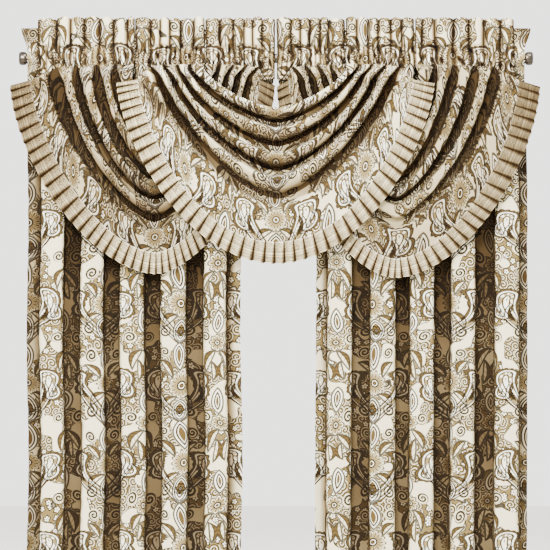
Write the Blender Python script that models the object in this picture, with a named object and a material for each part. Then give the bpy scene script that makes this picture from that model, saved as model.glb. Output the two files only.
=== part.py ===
"""Swag drape and curtain panels, hanging on one rod.

Three draped swags, each edged with a pleated trim, hang over two long
gathered panels. Each panel is one sheet, folded at its top into a pocket
round the rod and a standing header. Each swag is one sheet, gathered into
a standing header at its left and its right. Metres, +Z up, the front faces
-Y. The origin is on the rod's axis, midway between the swags' outer ends.
"""

import math

import bpy

MM = 0.001

CLOTH = 2.0 * MM
CLEAR = 0.5 * MM

ROD_RADIUS = 17.5 * MM
ROD_HALF = 896.7 * MM
ROD_SIDES = 20
CAP_START = 897.0 * MM
# Along the cap from the rod's end, and the radius there, in mm.
CAP_PROFILE = (
    (0.0, 19.0),
    (3.0, 23.0),
    (9.0, 25.0),
    (20.0, 25.0),
    (26.0, 22.0),
    (28.0, 18.0),
)

# Heights of a panel: its header, the pocket's two rows of stitches, and
# the rows of its body down to the hem.
PANEL_TOP = 109.0 * MM
HEADER_FOOT = 47.0 * MM
PANEL_STITCH = 27.0 * MM
POCKET_FOOT = -26.0 * MM
BODY_TOP = POCKET_FOOT - 2 * CLOTH
PANEL_BOTTOM = -2025.0 * MM
BODY_ROWS = (-60.0 * MM, -95.0 * MM, -240.0 * MM, -560.0 * MM, PANEL_BOTTOM)
# The pocket is an eight-sided sleeve round the rod.
POCKET_RADIUS = 19.3 * MM
POCKET_BEND = math.radians(50)
# Rows of points in the header, and in each wall of the pocket.
HEADER_ROW_COUNT = 2
POCKET_ROW_COUNT = 4
HEADER_HALF = 1.5 * MM
HEADER_GATHER = 4.0 * MM
# The header leans out at the rod's end, over this share of its width.
END_FLARE = 22.0 * MM
FLARE_START = 24.0 * MM
FLARE_SHARE = 0.1
# The body's folds reach their depth and their places over these drops.
PANEL_DEPTH = 46.0 * MM
DEPTH_DROP = 120.0 * MM
PLACE_DROP = 480.0 * MM
# One edge of a standing fold, from outside the fold inwards: how far out
# from the edge, in mm, and how far back, as a share of half the depth.
FOLD_EDGE = (
    (8.0, 1.0),
    (0.0, -0.65),
    (-7.0, -1.0),
)
FOLD_CROWN = -1.07
OUTER_EDGE = 0.6
INNER_EDGE = 0.3

# Each panel from its outer edge to its inner edge, as distances from the
# middle of the rod: its gathered pocket, its body, and where each of the
# body's standing folds starts and ends.
PANELS = {
    "panel_left": {
        "side": -1,
        "pocket": (895.0 * MM, 4.0 * MM),
        "edges": (896.0 * MM, 125.0 * MM),
        "folds": (
            (846 * MM, 767 * MM),
            (699 * MM, 620 * MM),
            (556 * MM, 473 * MM),
            (409 * MM, 323 * MM),
            (255 * MM, 179 * MM),
        ),
    },
    "panel_right": {
        "side": 1,
        "pocket": (895.0 * MM, 3.0 * MM),
        "edges": (905.0 * MM, 143.0 * MM),
        "folds": (
            (871 * MM, 789 * MM),
            (713 * MM, 631 * MM),
            (566 * MM, 484 * MM),
            (427 * MM, 341 * MM),
            (269 * MM, 186 * MM),
        ),
    },
}

# Rows of a swag's header, from its top edge down to below the rod.
SWAG_TOP = 140.0 * MM
SWAG_STITCH = 42.0 * MM
HEADER_ROWS = (SWAG_TOP, 92.0 * MM, SWAG_STITCH, 14.0 * MM, -10.0 * MM)
RUFFLE_DEPTH = 9.0 * MM
RUFFLE_ARCH = 5.0 * MM
RUFFLES = 6
# How much of the gathers' depth is left on and below the stitches.
STITCHED = 0.5
# Where the swag is stitched to the panel's header, and where its top leans.
TACKED = 3.0 * MM
LEANING = 8.0 * MM

# Each swag hangs from a header at its left and its right. Its reach is how
# far forward of the rod's axis it passes the rod and then hangs, and its
# push is how much farther forward its body lies.
# The lines are its folds, from its upper edge (0) to its seam (5). Columns:
# half width at the left and the right, top, lowest point, and the two
# powers that round the line outwards and downwards. Lengths in mm. The
# trim's outer edge is one more such line.
SWAGS = {
    "swag_left": {
        "middle": -434.0 * MM,
        "header_left": (-857.0 * MM, -509.0 * MM),
        "header_right": (-253.0 * MM, -4.0 * MM),
        "reach": (24.5 * MM, 31.0 * MM),
        "push": 4.0 * MM,
        "lines": (
            (86, 179, -23, -258, 1.50, 1.50),
            (152, 222, -25, -367, 1.50, 1.60),
            (212, 260, -27, -464, 1.45, 1.70),
            (287, 303, -30, -522, 1.70, 1.45),
            (357, 346, -36, -606, 1.45, 1.50),
            (447, 376, -81, -699, 1.71, 1.45),
        ),
        "trim": (520, 430, -100, -776, 1.70, 1.55),
    },
    "swag_centre": {
        "middle": 0.0,
        "header_left": (-507.0 * MM, -256.0 * MM),
        "header_right": (249.0 * MM, 497.0 * MM),
        "reach": (24.5 * MM, 35.0 * MM),
        "push": 42.0 * MM,
        "lines": (
            (268, 262, -23, -181, 1.50, 1.40),
            (316, 290, -24, -249, 1.50, 1.40),
            (350, 322, -26, -332, 1.50, 1.50),
            (388, 370, -28, -418, 1.50, 1.40),
            (438, 430, -34, -522, 1.60, 1.20),
            (495, 490, -81, -661, 2.10, 1.38),
        ),
        "trim": (571, 567, -92, -739, 1.95, 1.47),
    },
    "swag_right": {
        "middle": 430.0 * MM,
        "header_left": (3.0 * MM, 247.0 * MM),
        "header_right": (499.0 * MM, 857.0 * MM),
        "reach": (24.5 * MM, 31.0 * MM),
        "push": 4.0 * MM,
        "lines": (
            (183, 86, -23, -258, 1.50, 1.50),
            (226, 148, -25, -367, 1.70, 1.45),
            (264, 218, -27, -475, 1.40, 1.45),
            (307, 287, -30, -529, 1.45, 1.60),
            (350, 353, -36, -611, 1.48, 1.48),
            (384, 440, -81, -722, 1.70, 1.60),
        ),
        "trim": (427, 517, -104, -790, 1.75, 1.58),
    },
}

FOLDS = 5
ROLL_DEPTH = 34.0 * MM
# Below this height the folds grow, and reach their depth over these drops.
FOLDS_START = -14.0 * MM
PUSH_DROP = 24.0 * MM
ROLL_DROP = 28.0 * MM
# The header's gathers and its places fade out over these drops.
GATHER_DROP = 30.0 * MM
SPREAD_DROP = 60.0 * MM
BODY_STEPS = 20
# The rest are shares of a fold. A groove has a flat floor and two walls.
GROOVE_FLOOR = 0.16
GROOVE_WALL = 0.16
# Midway along a fold, its groove lies higher, less so at the edges.
GROOVE_LIFT = 0.20
LIFT_AT_TOP = 0.6
LIFT_AT_SEAM = 0.8
# The free upper edge curls back, crests are round, and the band droops.
EDGE_CURL = 0.35
EDGE_WIDTH = 0.25
CREST_RISE = 0.14
BAND_DROOP = 0.25
BAND_START = 0.4
# Where the columns lie across one fold, from one groove to the next.
EDGE_COLUMNS = (0.0, 0.10, 0.30, 0.50, 0.68, 0.84)
FOLD_COLUMNS = (0.16, 0.32, 0.50, 0.68, 0.84)
BAND_COLUMNS = (0.16, 0.32, 0.62)

# Two pleats to each straight run of the seam, each with two slopes.
PLEAT_SLOPES = 4
PLEAT_DEPTH = 4.0 * MM

# A slanted sheet is made thicker along Y, up to this slope.
STEEPEST = 0.4

CLOTH_COLOUR = (0.78, 0.70, 0.58)
TRIM_COLOUR = (0.62, 0.50, 0.38)
METAL_COLOUR = (0.55, 0.54, 0.52)


def clear_scene():
    for item in list(bpy.data.objects):
        bpy.data.objects.remove(item, do_unlink=True)


def material(name, colour, roughness, metallic=0.0):
    made = bpy.data.materials.new(name)
    made.use_nodes = True
    shader = made.node_tree.nodes["Principled BSDF"]
    shader.inputs["Base Color"].default_value = (*colour, 1.0)
    shader.inputs["Roughness"].default_value = roughness
    shader.inputs["Metallic"].default_value = metallic
    return made


def add_solid(name, points, faces, finish):
    mesh = bpy.data.meshes.new(name)
    mesh.from_pydata(points, [], faces)
    mesh.validate()
    mesh.shade_smooth()
    mesh.set_sharp_from_angle(angle=math.radians(40))
    solid = bpy.data.objects.new(name, mesh)
    bpy.context.collection.objects.link(solid)
    solid.data.materials.append(finish)
    return solid


def ease(value):
    value = min(max(value, 0.0), 1.0)
    return value * value * (3.0 - 2.0 * value)


def mix(a, b, share):
    return a + (b - a) * share


def two_triangles(a, b, c, d):
    return [(a, b, c), (a, c, d)]


def thick_sheet(grid, half=CLOTH / 2):
    """Points and triangles of a closed sheet round a grid of middle points.

    The thickness runs along Y, and grows where the cloth turns away from
    the front, so the sheet stays about as thick as the cloth all over.
    """
    rows, columns = len(grid), len(grid[0])

    def slope(r, c):
        above, below = grid[max(r - 1, 0)][c], grid[min(r + 1, rows - 1)][c]
        left, right = grid[r][max(c - 1, 0)], grid[r][min(c + 1, columns - 1)]
        u = [below[i] - above[i] for i in range(3)]
        v = [right[i] - left[i] for i in range(3)]
        n = (
            u[1] * v[2] - u[2] * v[1],
            u[2] * v[0] - u[0] * v[2],
            u[0] * v[1] - u[1] * v[0],
        )
        return abs(n[1]) / max(math.hypot(*n), 1e-12)

    front, back = [], []
    for r in range(rows):
        for c in range(columns):
            x, y, z = grid[r][c]
            away = half / max(slope(r, c), STEEPEST)
            front.append((x, y - away, z))
            back.append((x, y + away, z))
    points = front + back
    shift = len(front)

    def at(r, c):
        return r * columns + c

    faces = []
    for r in range(rows - 1):
        for c in range(columns - 1):
            a, b, d, e = at(r, c), at(r, c + 1), at(r + 1, c + 1), at(r + 1, c)
            faces += two_triangles(a, b, d, e)
            faces += [(a + shift, d + shift, b + shift)]
            faces += [(a + shift, e + shift, d + shift)]
    rim = [at(0, c) for c in range(columns)]
    rim += [at(r, columns - 1) for r in range(1, rows)]
    rim += [at(rows - 1, c) for c in range(columns - 2, -1, -1)]
    rim += [at(r, 0) for r in range(rows - 2, 0, -1)]
    for a, b in zip(rim, rim[1:] + rim[:1]):
        faces += two_triangles(b, a, a + shift, b + shift)
    return points, faces


def facing_out(points, faces):
    """The faces, turned if need be so that they face out of the solid."""
    volume = 0.0
    for face in faces:
        for i in range(1, len(face) - 1):
            a, b, c = points[face[0]], points[face[i]], points[face[i + 1]]
            volume += a[0] * (b[1] * c[2] - b[2] * c[1])
            volume += a[1] * (b[2] * c[0] - b[0] * c[2])
            volume += a[2] * (b[0] * c[1] - b[1] * c[0])
    if volume < 0:
        return [tuple(reversed(face)) for face in faces]
    return faces


def line_value(swag, column, k):
    """A column of the swag's table at fold place k, between its rows."""
    lines = swag["lines"]
    row = min(int(k), FOLDS - 1)
    return mix(lines[row][column], lines[row + 1][column], k - row)


def fold_curve(values, middle, turn):
    """X and Z on a fold line; turn runs from -1, left, over 0 to 1."""
    left, right, top, low, out_power, down_power = values
    angle = turn * math.pi / 2
    half = (left if turn < 0 else right) * MM
    across = half * abs(math.sin(angle)) ** (2.0 / out_power)
    down = abs(math.cos(angle)) ** (2.0 / down_power)
    x = middle + math.copysign(across, turn)
    return x, mix(top, low, down) * MM


def roll(c):
    """How far the cloth stands forward at c: 0 in a groove, 1 on a crest."""
    fold = int(min(c, FOLDS - 1))
    part = c - fold
    if fold == 0 and part < 0.5:
        return 1.0 - EDGE_CURL * (1.0 - min(part / EDGE_WIDTH, 1.0)) ** 2
    crest = 1.0 - CREST_RISE + CREST_RISE * math.sin(math.pi * part)
    if fold == FOLDS - 1:
        crest = 1.0 - BAND_DROOP * ease((part - BAND_START) / (1.0 - BAND_START))
        part = min(part, 0.5)
    beside = min(part, 1.0 - part)
    return crest * ease((beside - GROOVE_FLOOR) / GROOVE_WALL)


def table_place(c, turn):
    """The place in the fold table of column c: grooves rise at mid fold."""
    lift = GROOVE_LIFT * math.cos(turn * math.pi / 2)
    return c - lift * ease(c / LIFT_AT_TOP) * ease((FOLDS - c) / LIFT_AT_SEAM)


def ruffle(share):
    """How far the header's gathers stand forward, 0 to 1, over one group."""
    return 0.5 - 0.5 * math.cos(2.0 * math.pi * RUFFLES * share)


def header_x(swag, k, side):
    inner_left = swag["header_left"][1]
    outer_left = swag["header_left"][0]
    inner_right, outer_right = swag["header_right"]
    share = k / FOLDS
    if side < 0:
        return mix(inner_left, outer_left, share)
    return mix(inner_right, outer_right, share)


def header_point(swag, k, side, z):
    share = k / FOLDS
    near, low = swag["reach"]
    if z > SWAG_STITCH:
        y = mix(TACKED, LEANING, (z - SWAG_STITCH) / (SWAG_TOP - SWAG_STITCH))
    elif z > 0:
        y = mix(near, TACKED, ease(z / SWAG_STITCH))
    else:
        y = mix(near, low, ease(z / FOLDS_START))
    gather = RUFFLE_DEPTH * ruffle(share)
    if z == SWAG_TOP:
        z += RUFFLE_ARCH * ruffle(share)
    if z <= SWAG_STITCH:
        gather *= STITCHED
    return header_x(swag, k, side), -y - gather, z


def body_point(swag, c, turn):
    k = table_place(c, turn)
    values = [line_value(swag, column, k) for column in range(6)]
    x, z = fold_curve(values, swag["middle"], turn)
    drop = max(FOLDS_START - z, 0.0)
    low = swag["reach"][1]
    settle = 1.0 - math.exp(-drop / PUSH_DROP)
    grown = 1.0 - math.exp(-drop / ROLL_DROP)
    y = low + swag["push"] * settle + ROLL_DEPTH * grown * roll(c)
    y += STITCHED * RUFFLE_DEPTH * ruffle(c / FOLDS) * (1.0 - ease(drop / GATHER_DROP))
    side = -1 if turn < 0 else 1
    x = mix(header_x(swag, c, side), x, ease(drop / SPREAD_DROP))
    return x, -y, z


def swag_columns():
    found = list(EDGE_COLUMNS)
    for fold in range(1, FOLDS - 1):
        found += [fold + part for part in FOLD_COLUMNS]
    return found + [FOLDS - 1 + part for part in BAND_COLUMNS] + [float(FOLDS)]


def swag_grid(swag):
    turns = [-1 + 2 * i / BODY_STEPS for i in range(BODY_STEPS + 1)]
    grid = []
    for z in HEADER_ROWS:
        grid.append([header_point(swag, k, -1, z) for k in swag_columns()])
    for turn in turns:
        grid.append([body_point(swag, k, turn) for k in swag_columns()])
    for z in reversed(HEADER_ROWS):
        grid.append([header_point(swag, k, 1, z) for k in swag_columns()])
    return grid


def make_swag(name, swag, finish):
    points, faces = thick_sheet(swag_grid(swag))
    return add_solid(name, points, facing_out(points, faces), finish)


def seam_point(seam, place):
    """A point on the seam's straight runs, set off outwards by the gap."""
    start = min(int(place), len(seam) - 2)
    a, b = seam[start], seam[start + 1]
    point = [mix(a[j], b[j], place - start) for j in range(3)]
    before, after = seam[max(round(place) - 1, 0)], seam[min(round(place) + 1, len(seam) - 1)]
    if place != round(place):
        before, after = a, b
    run_x, run_z = after[0] - before[0], after[2] - before[2]
    length = math.hypot(run_x, run_z)
    point[0] += run_z / length * CLEAR
    point[2] -= run_x / length * CLEAR
    return tuple(point)


def make_trim(name, swag, finish):
    """The pleated band: its inner edge follows the swag's own edge."""
    turns = [-1 + 2 * i / BODY_STEPS for i in range(BODY_STEPS + 1)]
    seam = [body_point(swag, float(FOLDS), turn) for turn in turns]
    inner, outer = [], []
    steps = BODY_STEPS * PLEAT_SLOPES
    for i in range(steps + 1):
        edge = seam_point(seam, i / PLEAT_SLOPES)
        x, z = fold_curve(swag["trim"], swag["middle"], -1 + 2 * i / steps)
        fold = PLEAT_DEPTH if i % 2 else -PLEAT_DEPTH
        inner.append(edge)
        outer.append((x, edge[1] + fold, z))
    points, faces = thick_sheet([inner, outer])
    return add_solid(name, points, facing_out(points, faces), finish)


def panel_cut(panel):
    """The body's cut across its folds: (distance from the middle, depth)."""
    outer, inner = panel["edges"]
    half = PANEL_DEPTH / 2
    cut = [(outer, half * OUTER_EDGE)]
    for start, end in panel["folds"]:
        cut += [(start + out * MM, half * back) for out, back in FOLD_EDGE]
        cut.append(((start + end) / 2, half * FOLD_CROWN))
        cut += [(end - out * MM, half * back) for out, back in reversed(FOLD_EDGE)]
    cut.append((inner, half * INNER_EDGE))
    return cut


def moved_square(cut, away):
    """A cut's points moved square to it, towards the front if away > 0."""
    runs = []
    for (x0, y0), (x1, y1) in zip(cut, cut[1:]):
        length = math.hypot(x1 - x0, y1 - y0)
        runs.append(((y0 - y1) / length, (x1 - x0) / length))
    moved = []
    for i, (x, y) in enumerate(cut):
        before, after = runs[max(i - 1, 0)], runs[min(i, len(runs) - 1)]
        turn_x, turn_y = before[0] + after[0], before[1] + after[1]
        scale = 2.0 * away / (turn_x ** 2 + turn_y ** 2)
        moved.append((x + turn_x * scale, y + turn_y * scale))
    return moved


def upper_x(panel, share, z):
    """Distance from the middle of a point in the pocket or the header."""
    start, end = panel["pocket"]
    rise = ease((z - FLARE_START) / (PANEL_TOP - FLARE_START))
    return mix(start, end, share) + END_FLARE * rise * max(1.0 - share / FLARE_SHARE, 0.0)


def pocket_outline(radius, top, foot):
    """Half of the pocket's outline, from its top to its foot: (away, z)."""
    across, up = radius * math.sin(POCKET_BEND), radius * math.cos(POCKET_BEND)
    return (0.0, top), (across, up), (radius, 0.0), (across, -up), (0.0, foot)


def upper_rows():
    """Height, half thickness and gathers of the rows above the body."""
    shell = pocket_outline(POCKET_RADIUS + CLOTH, PANEL_STITCH + 2 * CLOTH, POCKET_FOOT)
    rows = [(PANEL_TOP, HEADER_HALF, 1.0), (HEADER_FOOT, HEADER_HALF, 0.6)]
    rows += [(z, max(away, HEADER_HALF), 0.0) for away, z in shell[:-1]]
    return rows + [(BODY_TOP, CLOTH / 2, 0.0)]


def panel_skins(panel):
    """The front and back skin, each a list of rows of points."""
    cut = panel_cut(panel)
    shares = [i / (len(cut) - 1) for i in range(len(cut))]
    front, back = [], []
    for z, half, gathered in upper_rows():
        waves = [HEADER_GATHER * gathered * (i % 2) for i in range(len(cut))]
        places = [upper_x(panel, share, z) for share in shares]
        front.append([(x, wave - half, z) for x, wave in zip(places, waves)])
        back.append([(x, wave + half, z) for x, wave in zip(places, waves)])
    for z in BODY_ROWS:
        placed = ease((BODY_TOP - z) / PLACE_DROP)
        deep = ease((BODY_TOP - z) / DEPTH_DROP)
        line = []
        for share, (x, y) in zip(shares, cut):
            line.append((mix(upper_x(panel, share, z), x, placed), y * deep))
        front.append([(x, y, z) for x, y in moved_square(line, CLOTH / 2)])
        back.append([(x, y, z) for x, y in moved_square(line, -CLOTH / 2)])
    return front, back


def pocket_ring(panel, share):
    """The pocket's inner outline at one column, front side first."""
    outline = pocket_outline(POCKET_RADIUS, PANEL_STITCH, POCKET_FOOT)
    x = upper_x(panel, share, 0.0)
    ring = [(x, -away, z) for away, z in outline]
    return ring + [(x, away, z) for away, z in reversed(outline[1:-1])]


def make_panel(name, panel, finish):
    front, back = panel_skins(panel)
    rows, columns = len(front), len(front[0])
    points = [point for row in front + back for point in row]
    rings = []
    for column in range(columns):
        ring = pocket_ring(panel, column / (columns - 1))
        rings.append(range(len(points), len(points) + len(ring)))
        points += ring

    def at(row, column):
        return row * columns + column

    faces = []
    shift = rows * columns
    for column in range(columns - 1):
        for row in range(rows - 1):
            a, b = at(row, column), at(row, column + 1)
            d, e = at(row + 1, column + 1), at(row + 1, column)
            faces += two_triangles(a, b, d, e)
            faces += [(a + shift, d + shift, b + shift)]
            faces += [(a + shift, e + shift, d + shift)]
        top_front, top_back = at(0, column), at(rows, column)
        hem_front, hem_back = at(rows - 1, column), at(2 * rows - 1, column)
        faces += two_triangles(top_front + 1, top_front, top_back, top_back + 1)
        faces += two_triangles(hem_front, hem_front + 1, hem_back + 1, hem_back)
        a, b = rings[column], rings[column + 1]
        for i in range(len(a)):
            j = (i + 1) % len(a)
            faces += two_triangles(a[i], a[j], b[j], b[i])
    for column in (0, columns - 1):
        edge = [at(row, column) for row in range(2 * rows)]
        side = side_faces(edge[:rows], edge[rows:], rings[column])
        faces += side if column else [tuple(reversed(face)) for face in side]
    points = [(x * panel["side"], y, z) for x, y, z in points]
    return add_solid(name, points, facing_out(points, faces), finish)


def side_faces(front, back, ring):
    """A panel's side edge: header, the two walls of the pocket, and body."""
    above, below = HEADER_ROW_COUNT, HEADER_ROW_COUNT + POCKET_ROW_COUNT
    plain = list(range(above)) + list(range(below, len(front) - 1))
    faces = []
    for row in plain:
        faces += two_triangles(front[row + 1], front[row], back[row], back[row + 1])
    for i in range(POCKET_ROW_COUNT):
        row = above + i
        faces += two_triangles(front[row + 1], front[row], ring[i], ring[i + 1])
        upper, lower = ring[-i % len(ring)], ring[-i - 1]
        faces += two_triangles(lower, upper, back[row], back[row + 1])
    faces.append((front[above], back[above], ring[0]))
    faces.append((back[below], front[below], ring[POCKET_ROW_COUNT]))
    return faces


def turned_solid(name, profile, finish):
    """A round solid about the X axis, from rows of (x, radius)."""
    points, faces = [], []
    for x, radius in profile:
        for i in range(ROD_SIDES):
            angle = 2 * math.pi * i / ROD_SIDES
            points.append((x, radius * math.sin(angle), radius * math.cos(angle)))
    for ring in range(len(profile) - 1):
        for i in range(ROD_SIDES):
            j = (i + 1) % ROD_SIDES
            a, b = ring * ROD_SIDES, (ring + 1) * ROD_SIDES
            faces.append((a + i, a + j, b + j, b + i))
    last = (len(profile) - 1) * ROD_SIDES
    faces.append(tuple(reversed(range(ROD_SIDES))))
    faces.append(tuple(range(last, last + ROD_SIDES)))
    return add_solid(name, points, facing_out(points, faces), finish)


def make_rod(finish):
    turned_solid("rod", ((-ROD_HALF, ROD_RADIUS), (ROD_HALF, ROD_RADIUS)), finish)
    for name, side in (("cap_left", -1), ("cap_right", 1)):
        profile = [(side * (CAP_START + x * MM), r * MM) for x, r in CAP_PROFILE]
        turned_solid(name, profile, finish)


def main():
    clear_scene()
    make_rod(material("rod_metal", METAL_COLOUR, 0.2, 1.0))
    for name, panel in PANELS.items():
        make_panel(name, panel, material(name + "_cloth", CLOTH_COLOUR, 0.75))
    for name, swag in SWAGS.items():
        make_swag(name, swag, material(name + "_cloth", CLOTH_COLOUR, 0.75))
        trim = name.replace("swag", "trim")
        make_trim(trim, swag, material(trim + "_cloth", TRIM_COLOUR, 0.8))


main()
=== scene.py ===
"""Looks of the swag drape: cloth with its folds, its weave, and the rod.

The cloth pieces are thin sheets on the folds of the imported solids. Metres,
+Z up, the front faces -Y, and the origin is on the rod's axis.
"""

import math

import bpy
import numpy as np
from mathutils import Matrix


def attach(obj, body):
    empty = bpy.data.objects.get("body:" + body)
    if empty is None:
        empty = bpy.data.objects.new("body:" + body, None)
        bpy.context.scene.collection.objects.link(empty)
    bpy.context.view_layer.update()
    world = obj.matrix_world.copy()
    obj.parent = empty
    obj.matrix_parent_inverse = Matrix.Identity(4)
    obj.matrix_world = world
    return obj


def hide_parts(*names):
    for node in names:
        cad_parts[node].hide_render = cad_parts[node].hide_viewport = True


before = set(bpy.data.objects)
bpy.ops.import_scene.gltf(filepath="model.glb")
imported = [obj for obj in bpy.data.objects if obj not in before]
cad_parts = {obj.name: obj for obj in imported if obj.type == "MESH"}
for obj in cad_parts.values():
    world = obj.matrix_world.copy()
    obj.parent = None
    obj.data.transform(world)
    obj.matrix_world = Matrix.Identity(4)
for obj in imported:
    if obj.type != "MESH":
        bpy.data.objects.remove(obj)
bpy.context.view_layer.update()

MM = 0.001
SEED = 11

# The rod and the panels' header, as in the solids.
PANEL_TOP = 109.0 * MM
PANEL_STITCH = 27.0 * MM
POCKET_FOOT = -26.0 * MM
PANEL_BOTTOM = -2024.0 * MM
POCKET_RADIUS = 20.3 * MM
PANEL_DEPTH = 46.0 * MM
END_FLARE = 22.0 * MM
# One edge of a standing fold, from outside the fold inwards: how far out
# from the edge, in mm, and how far back, as a share of half the depth.
FOLD_EDGE = (
    (8.0, 1.0),
    (0.0, -0.65),
    (-7.0, -1.0),
)
FOLD_CROWN = -1.07
OUTER_EDGE = 0.6
INNER_EDGE = 0.3

PANELS = {
    "panel_left": {
        "side": -1,
        "pocket": (895.0 * MM, 4.0 * MM),
        "edges": (896.0 * MM, 125.0 * MM),
        "folds": ((846, 767), (699, 620), (556, 473), (409, 323), (255, 179)),
    },
    "panel_right": {
        "side": 1,
        "pocket": (895.0 * MM, 3.0 * MM),
        "edges": (905.0 * MM, 143.0 * MM),
        "folds": ((871, 789), (713, 631), (566, 484), (427, 341), (269, 186)),
    },
}

# How much wider than its header the gathered cloth's pattern is drawn.
GATHERED = 1.25

# The swags' heights from the rod's axis, how far forward their headers
# stand at the stitch line and at the top, and how deep a roll is. Each swag
# is then pushed forward and rolled over these drops below its header.
SWAG_TOP = 140.0 * MM
SWAG_STITCH = 42.0 * MM
RUFFLE_DEPTH = 9.0 * MM
TACKED = 3.0 * MM
LEANING = 8.0 * MM
ROLL_DEPTH = 34.0 * MM
FOLDS_START = -14.0 * MM
PUSH_DROP = 24.0 * MM
ROLL_DROP = 28.0 * MM

# Each swag's fold lines, from its upper edge (0) to its seam (5). Columns:
# half width at the left and the right, top, lowest point, and the two
# powers that round the line outwards and downwards. Lengths in mm. The
# ruffles are the widths of the header's gathers, from the cowl outwards.
# Each dent is a place across and along the folds, its two half sizes
# there, and its depth in mm. "shade" is how far the painted shade of a groove
# comes up its walls, "deep" how dark that painted shade is, "dim" the swag's
# painted shade all over, darker on a side swag hanging behind, "shift" how far
# its pattern is moved along, in metres, "foot" where and how much a roll's
# painted shade darkens downwards by the middle, "open" how far the painted
# shade of the lowest groove fades there, and "trim_long" the flat length of
# its trim, in metres.
SWAGS = {
    "swag_left": {
        "middle": -434.0 * MM,
        "header_left": (-857.0 * MM, -509.0 * MM),
        "header_right": (-253.0 * MM, -4.0 * MM),
        "ruffles_left": (7, 14, 15, 15, 14, 15, 19),
        "ruffles_right": (15, 14, 11, 9, 10, 13),
        "reach": (24.5 * MM, 31.0 * MM),
        "push": 4.0 * MM,
        "shade": 0.10,
        "dim": 0.27,
        "shift": 0.0,
        "foot": (0.10, 2.3),
        "open": 0.0,
        "deep": 1.70,
        "trim_long": 1.90,
        "lines": (
            (86, 179, -23, -258, 1.50, 1.50),
            (152, 222, -25, -367, 1.50, 1.60),
            (212, 260, -27, -464, 1.45, 1.70),
            (287, 303, -30, -522, 1.70, 1.45),
            (357, 346, -36, -606, 1.45, 1.50),
            (447, 376, -81, -699, 1.71, 1.45),
        ),
        "trim": (520, 430, -100, -776, 1.70, 1.55),
        "dents": (
            (4.75, -0.93, 0.25, 0.050, 10),
            (4.55, -0.60, 0.15, 0.060, 5),
        ),
    },
    "swag_centre": {
        "middle": 0.0,
        "header_left": (-507.0 * MM, -256.0 * MM),
        "header_right": (249.0 * MM, 497.0 * MM),
        "ruffles_left": (11, 12, 11, 9, 9, 15),
        "ruffles_right": (12, 12, 10, 13, 11, 13),
        "reach": (24.5 * MM, 35.0 * MM),
        "push": 42.0 * MM,
        "shade": 0.02,
        "dim": 0.03,
        "shift": 0.0,
        "foot": (0.25, 1.6),
        "open": 0.3,
        "deep": 2.10,
        "trim_long": 2.10,
        "lines": (
            (268, 262, -23, -181, 1.50, 1.40),
            (316, 290, -24, -249, 1.50, 1.40),
            (350, 322, -26, -332, 1.50, 1.50),
            (388, 370, -28, -418, 1.50, 1.40),
            (438, 430, -34, -522, 1.60, 1.20),
            (495, 490, -81, -661, 2.10, 1.38),
        ),
        "trim": (571, 567, -92, -739, 1.95, 1.47),
        "dents": (
            (4.66, -0.905, 0.22, 0.040, 12),
            (4.58, -0.820, 0.20, 0.045, 11),
            (4.46, -0.750, 0.18, 0.040, 9),
            (4.38, -0.700, 0.15, 0.035, 7),
            (0.65, -0.220, 0.25, 0.070, 11),
            (4.40, 0.620, 0.12, 0.100, 5),
        ),
    },
    "swag_right": {
        "middle": 430.0 * MM,
        "header_left": (3.0 * MM, 247.0 * MM),
        "header_right": (499.0 * MM, 857.0 * MM),
        "ruffles_left": (17, 8, 11, 9, 9, 15),
        "ruffles_right": (7, 13, 18, 16, 15, 16, 14),
        "reach": (24.5 * MM, 31.0 * MM),
        "push": 4.0 * MM,
        "shade": 0.10,
        "dim": 0.27,
        "shift": 0.10,
        "foot": (0.30, 1.3),
        "open": 0.75,
        "deep": 1.70,
        "trim_long": 1.90,
        "lines": (
            (183, 86, -23, -258, 1.50, 1.50),
            (226, 148, -25, -367, 1.70, 1.45),
            (264, 218, -27, -475, 1.40, 1.45),
            (307, 287, -30, -529, 1.45, 1.60),
            (350, 353, -36, -611, 1.48, 1.48),
            (384, 440, -81, -722, 1.70, 1.60),
        ),
        "trim": (427, 517, -104, -790, 1.75, 1.58),
        "dents": (
            (4.75, 0.93, 0.25, 0.040, 8),
            (4.35, 0.30, 0.12, 0.120, 5),
        ),
    },
}

PLEATS = 46
PLEAT_DEPTH = 4.0 * MM
PLEAT_LEAN = 0.95


def ease(value):
    value = np.clip(value, 0.0, 1.0)
    return value * value * (3.0 - 2.0 * value)


def mix(a, b, share):
    return a + (b - a) * share


# What brings the sum of a wobble's waves to about 1 at its highest.
WOBBLE_PEAK = 1.3


class Wobble:
    """A smooth, seeded unevenness of two coordinates, about -1 to 1."""

    def __init__(self, seed, waves=7):
        draw = np.random.RandomState(SEED + seed)
        self.turn = draw.uniform(0, 2 * math.pi, waves)
        self.phase = draw.uniform(0, 2 * math.pi, waves)
        self.rate = draw.uniform(0.6, 1.7, waves)

    def __call__(self, u, v):
        total = 0.0
        for turn, phase, rate in zip(self.turn, self.phase, self.rate):
            total = total + np.sin(rate * (u * math.cos(turn) + v * math.sin(turn)) + phase)
        return total / math.sqrt(len(self.turn)) / WOBBLE_PEAK


def corners(grid):
    """The four corner values of each cell of a grid."""
    return np.stack([grid[:-1, :-1], grid[:-1, 1:], grid[1:, 1:], grid[1:, :-1]], axis=2)


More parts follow.
